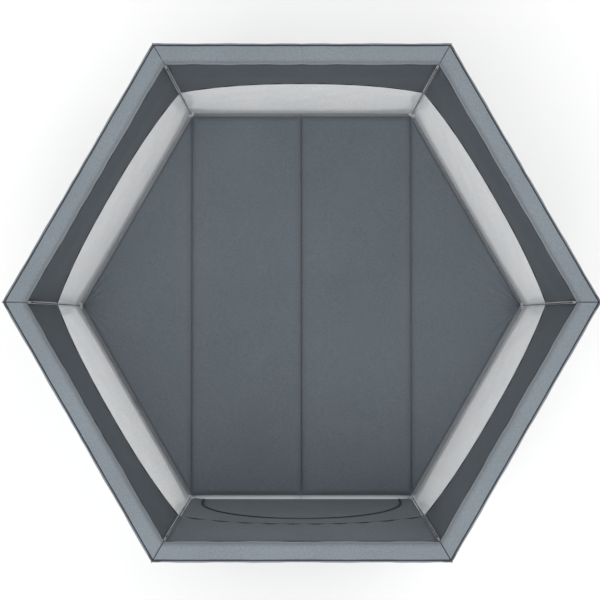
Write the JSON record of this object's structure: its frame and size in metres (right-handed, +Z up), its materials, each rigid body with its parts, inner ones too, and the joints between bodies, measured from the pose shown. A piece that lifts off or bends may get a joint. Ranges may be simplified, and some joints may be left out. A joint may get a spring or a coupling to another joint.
{
  "type": "playpen",
  "caption": "Hexagonal folding playpen with padded top rails, see-through mesh walls, a zipped door in a solid front wall and a folding padded floor mat.",
  "frame": {"origin": "on the floor under the middle of the pen", "axes": "+Z up, -Y is the front side with the door, +X is the right corner"},
  "size_m": [1.346, 1.1724, 0.686],
  "materials": {
    "frame_tube": "powder coated",
    "foot_plastic": "moulded",
    "hinge_plastic": "moulded",
    "rail_cover": "woven polyester over foam",
    "wall_fabric": "woven polyester",
    "mesh": "knitted mesh",
    "base_fabric": "woven polyester",
    "mat_fabric": "quilted polyester over board",
    "zip": "nylon coil"
  },
  "bodies": {
    "leg_frame_right": {"leg_right": "frame_tube", "foot_right": "foot_plastic", "corner_bracket_right": "hinge_plastic", "wall_right_back": "mesh"},
    "spoke_right": {"floor_spoke_right": "frame_tube", "base_gore_right": "base_fabric"},
    "leg_frame_back_right": {"leg_back_right": "frame_tube", "foot_back_right": "foot_plastic", "corner_bracket_back_right": "hinge_plastic", "wall_back": "mesh"},
    "spoke_back_right": {"floor_spoke_back_right": "frame_tube", "base_gore_back_right": "base_fabric"},
    "leg_frame_back_left": {"leg_back_left": "frame_tube", "foot_back_left": "foot_plastic", "corner_bracket_back_left": "hinge_plastic", "wall_left_back": "mesh"},
    "spoke_back_left": {"floor_spoke_back_left": "frame_tube", "base_gore_back_left": "base_fabric"},
    "leg_frame_left": {"leg_left": "frame_tube", "foot_left": "foot_plastic", "corner_bracket_left": "hinge_plastic", "wall_left_front": "mesh"},
    "spoke_left": {"floor_spoke_left": "frame_tube", "base_gore_left": "base_fabric"},
    "leg_frame_front_left": {"leg_front_left": "frame_tube", "foot_front_left": "foot_plastic", "corner_bracket_front_left": "hinge_plastic", "wall_front": "wall_fabric", "zip_chain": "zip"},
    "spoke_front_left": {"floor_spoke_front_left": "frame_tube", "base_gore_front_left": "base_fabric"},
    "leg_frame_front_right": {"leg_front_right": "frame_tube", "foot_front_right": "foot_plastic", "corner_bracket_front_right": "hinge_plastic", "wall_right_front": "mesh"},
    "spoke_front_right": {"floor_spoke_front_right": "frame_tube", "base_gore_front_right": "base_fabric"},
    "rail_half_right_back_a": {"rail_right_back_a": "rail_cover"},
    "rail_half_right_back_b": {"rail_right_back_b": "rail_cover"},
    "rail_half_back_a": {"rail_back_a": "rail_cover"},
    "rail_half_back_b": {"rail_back_b": "rail_cover"},
    "rail_half_left_back_a": {"rail_left_back_a": "rail_cover"},
    "rail_half_left_back_b": {"rail_left_back_b": "rail_cover"},
    "rail_half_left_front_a": {"rail_left_front_a": "rail_cover"},
    "rail_half_left_front_b": {"rail_left_front_b": "rail_cover"},
    "rail_half_front_a": {"rail_front_a": "rail_cover"},
    "rail_half_front_b": {"rail_front_b": "rail_cover"},
    "rail_half_right_front_a": {"rail_right_front_a": "rail_cover"},
    "rail_half_right_front_b": {"rail_right_front_b": "rail_cover"},
    "hub": {"floor_hub": "hinge_plastic"},
    "mat_2": {"mat_panel_2": "mat_fabric"},
    "mat_1": {"mat_panel_1": "mat_fabric"},
    "mat_3": {"mat_panel_3": "mat_fabric"},
    "mat_4": {"mat_panel_4": "mat_fabric"},
    "door": {"door_flap": "wall_fabric"},
    "slider_left": {"zip_slider_left": "zip"},
    "slider_right": {"zip_slider_right": "zip"}
  },
  "joints": [
    {"name": "frame_fold", "type": "hinge", "parent": "leg_frame_back_left", "child": "spoke_back_left", "pos_m": [-0.3015, 0.52221, 0.035], "axis": [-0.866, -0.5, 0], "range_deg": [0, 78], "deforming": ["mat_panel_1", "mat_panel_2", "mat_panel_3", "mat_panel_4", "wall_right_back", "wall_back", "wall_left_back", "wall_left_front", "wall_front", "wall_right_front", "base_gore_right", "base_gore_back_right", "base_gore_back_left", "base_gore_left", "base_gore_front_left", "base_gore_front_right", "zip_chain", "door_flap", "zip_slider_left", "zip_slider_right"]},
    {"name": "hub_level", "type": "hinge", "parent": "spoke_back_left", "child": "hub", "pos_m": [-0.0375, 0.06495, 0.035], "axis": [0.866, 0.5, 0], "range_deg": [0, 78]},
    {"name": "spoke_drop_right", "type": "hinge", "parent": "hub", "child": "spoke_right", "pos_m": [0.075, 0, 0.035], "axis": [0, 1, 0], "range_deg": [0, 78]},
    {"name": "leg_level_right", "type": "hinge", "parent": "spoke_right", "child": "leg_frame_right", "pos_m": [0.603, 0, 0.035], "axis": [0, -1, 0], "range_deg": [0, 78]},
    {"name": "spoke_drop_back_right", "type": "hinge", "parent": "hub", "child": "spoke_back_right", "pos_m": [0.0375, 0.06495, 0.035], "axis": [-0.866, 0.5, 0], "range_deg": [0, 78]},
    {"name": "leg_level_back_right", "type": "hinge", "parent": "spoke_back_right", "child": "leg_frame_back_right", "pos_m": [0.3015, 0.52221, 0.035], "axis": [0.866, -0.5, 0], "range_deg": [0, 78]},
    {"name": "spoke_drop_left", "type": "hinge", "parent": "hub", "child": "spoke_left", "pos_m": [-0.075, 0, 0.035], "axis": [0, -1, 0], "range_deg": [0, 78]},
    {"name": "leg_level_left", "type": "hinge", "parent": "spoke_left", "child": "leg_frame_left", "pos_m": [-0.603, 0, 0.035], "axis": [0, 1, 0], "range_deg": [0, 78]},
    {"name": "spoke_drop_front_left", "type": "hinge", "parent": "hub", "child": "spoke_front_left", "pos_m": [-0.0375, -0.06495, 0.035], "axis": [0.866, -0.5, 0], "range_deg": [0, 78]},
    {"name": "leg_level_front_left", "type": "hinge", "parent": "spoke_front_left", "child": "leg_frame_front_left", "pos_m": [-0.3015, -0.52221, 0.035], "axis": [-0.866, 0.5, 0], "range_deg": [0, 78]},
    {"name": "spoke_drop_front_right", "type": "hinge", "parent": "hub", "child": "spoke_front_right", "pos_m": [0.0375, -0.06495, 0.035], "axis": [0.866, 0.5, 0], "range_deg": [0, 78]},
    {"name": "leg_level_front_right", "type": "hinge", "parent": "spoke_front_right", "child": "leg_frame_front_right", "pos_m": [0.3015, -0.52221, 0.035], "axis": [-0.866, -0.5, 0], "range_deg": [0, 78]},
    {"name": "rail_fold_right_back_a", "type": "hinge", "parent": "leg_frame_right", "child": "rail_half_right_back_a", "pos_m": [0.618, 0.05196, 0.68], "axis": [-0.866, -0.5, 0], "range_deg": [0, 78]},
    {"name": "rail_fold_right_back_b", "type": "hinge", "parent": "leg_frame_back_right", "child": "rail_half_right_back_b", "pos_m": [0.354, 0.50922, 0.68], "axis": [0.866, 0.5, 0], "range_deg": [0, 78]},
    {"name": "rail_fold_back_a", "type": "hinge", "parent": "leg_frame_back_right", "child": "rail_half_back_a", "pos_m": [0.264, 0.56118, 0.68], "axis": [0, -1, 0], "range_deg": [0, 78]},
    {"name": "rail_fold_back_b", "type": "hinge", "parent": "leg_frame_back_left", "child": "rail_half_back_b", "pos_m": [-0.264, 0.56118, 0.68], "axis": [0, 1, 0], "range_deg": [0, 78]},
    {"name": "rail_fold_left_back_a", "type": "hinge", "parent": "leg_frame_back_left", "child": "rail_half_left_back_a", "pos_m": [-0.354, 0.50922, 0.68], "axis": [0.866, -0.5, 0], "range_deg": [0, 78]},
    {"name": "rail_fold_left_back_b", "type": "hinge", "parent": "leg_frame_left", "child": "rail_half_left_back_b", "pos_m": [-0.618, 0.05196, 0.68], "axis": [-0.866, 0.5, 0], "range_deg": [0, 78]},
    {"name": "rail_fold_left_front_a", "type": "hinge", "parent": "leg_frame_left", "child": "rail_half_left_front_a", "pos_m": [-0.618, -0.05196, 0.68], "axis": [0.866, 0.5, 0], "range_deg": [0, 78]},
    {"name": "rail_fold_left_front_b", "type": "hinge", "parent": "leg_frame_front_left", "child": "rail_half_left_front_b", "pos_m": [-0.354, -0.50922, 0.68], "axis": [-0.866, -0.5, 0], "range_deg": [0, 78]},
    {"name": "rail_fold_front_a", "type": "hinge", "parent": "leg_frame_front_left", "child": "rail_half_front_a", "pos_m": [-0.264, -0.56118, 0.68], "axis": [0, 1, 0], "range_deg": [0, 78]},
    {"name": "rail_fold_front_b", "type": "hinge", "parent": "leg_frame_front_right", "child": "rail_half_front_b", "pos_m": [0.264, -0.56118, 0.68], "axis": [0, -1, 0], "range_deg": [0, 78]},
    {"name": "rail_fold_right_front_a", "type": "hinge", "parent": "leg_frame_front_right", "child": "rail_half_right_front_a", "pos_m": [0.354, -0.50922, 0.68], "axis": [-0.866, 0.5, 0], "range_deg": [0, 78]},
    {"name": "rail_fold_right_front_b", "type": "hinge", "parent": "leg_frame_right", "child": "rail_half_right_front_b", "pos_m": [0.618, -0.05196, 0.68], "axis": [0.866, -0.5, 0], "range_deg": [0, 78]},
    {"name": "mat_lift", "type": "slide", "parent": "hub", "child": "mat_2", "axis": [0, 0, 1], "range_m": [0, 0.13]},
    {"name": "mat_fold_left", "type": "hinge", "parent": "mat_2", "child": "mat_1", "pos_m": [-0.295, 0, 0.073], "axis": [0, 1, 0], "range_deg": [0, 88]},
    {"name": "mat_fold_middle", "type": "hinge", "parent": "mat_2", "child": "mat_3", "pos_m": [0, 0, 0.073], "axis": [0, -1, 0], "range_deg": [0, 88]},
    {"name": "mat_fold_right", "type": "hinge", "parent": "mat_3", "child": "mat_4", "pos_m": [0.295, 0, 0.073], "axis": [0, -1, 0], "range_deg": [0, 88]},
    {"name": "door_open", "type": "hinge", "parent": "leg_frame_front_left", "child": "door", "pos_m": [0, -0.52216, 0.06695], "axis": [1, 0, 0], "range_deg": [0, 88]},
    {"name": "zip_travel_left", "type": "hinge", "parent": "leg_frame_front_left", "child": "slider_left", "pos_m": [0, -0.52162, 0.11998], "axis": [0, 0.9997, 0.0239], "range_deg": [0, 84]},
    {"name": "zip_travel_right", "type": "hinge", "parent": "leg_frame_front_left", "child": "slider_right", "pos_m": [0, -0.52162, 0.11998], "axis": [0, -0.9997, -0.0239], "range_deg": [0, 84]}
  ],
  "couplings": [
    {"joint": "hub_level", "follows": "frame_fold", "ratio": 1},
    {"joint": "spoke_drop_right", "follows": "frame_fold", "ratio": 1},
    {"joint": "leg_level_right", "follows": "frame_fold", "ratio": 1},
    {"joint": "spoke_drop_back_right", "follows": "frame_fold", "ratio": 1},
    {"joint": "leg_level_back_right", "follows": "frame_fold", "ratio": 1},
    {"joint": "spoke_drop_left", "follows": "frame_fold", "ratio": 1},
    {"joint": "leg_level_left", "follows": "frame_fold", "ratio": 1},
    {"joint": "spoke_drop_front_left", "follows": "frame_fold", "ratio": 1},
    {"joint": "leg_level_front_left", "follows": "frame_fold", "ratio": 1},
    {"joint": "spoke_drop_front_right", "follows": "frame_fold", "ratio": 1},
    {"joint": "leg_level_front_right", "follows": "frame_fold", "ratio": 1},
    {"joint": "rail_fold_right_back_a", "follows": "frame_fold", "ratio": 1},
    {"joint": "rail_fold_right_back_b", "follows": "frame_fold", "ratio": 1},
    {"joint": "rail_fold_back_a", "follows": "frame_fold", "ratio": 1},
    {"joint": "rail_fold_back_b", "follows": "frame_fold", "ratio": 1},
    {"joint": "rail_fold_left_back_a", "follows": "frame_fold", "ratio": 1},
    {"joint": "rail_fold_left_back_b", "follows": "frame_fold", "ratio": 1},
    {"joint": "rail_fold_left_front_a", "follows": "frame_fold", "ratio": 1},
    {"joint": "rail_fold_left_front_b", "follows": "frame_fold", "ratio": 1},
    {"joint": "rail_fold_front_a", "follows": "frame_fold", "ratio": 1},
    {"joint": "rail_fold_front_b", "follows": "frame_fold", "ratio": 1},
    {"joint": "rail_fold_right_front_a", "follows": "frame_fold", "ratio": 1},
    {"joint": "rail_fold_right_front_b", "follows": "frame_fold", "ratio": 1},
    {"joint": "mat_lift", "follows": "frame_fold", "m_per_rad": 0.095}
  ]
}
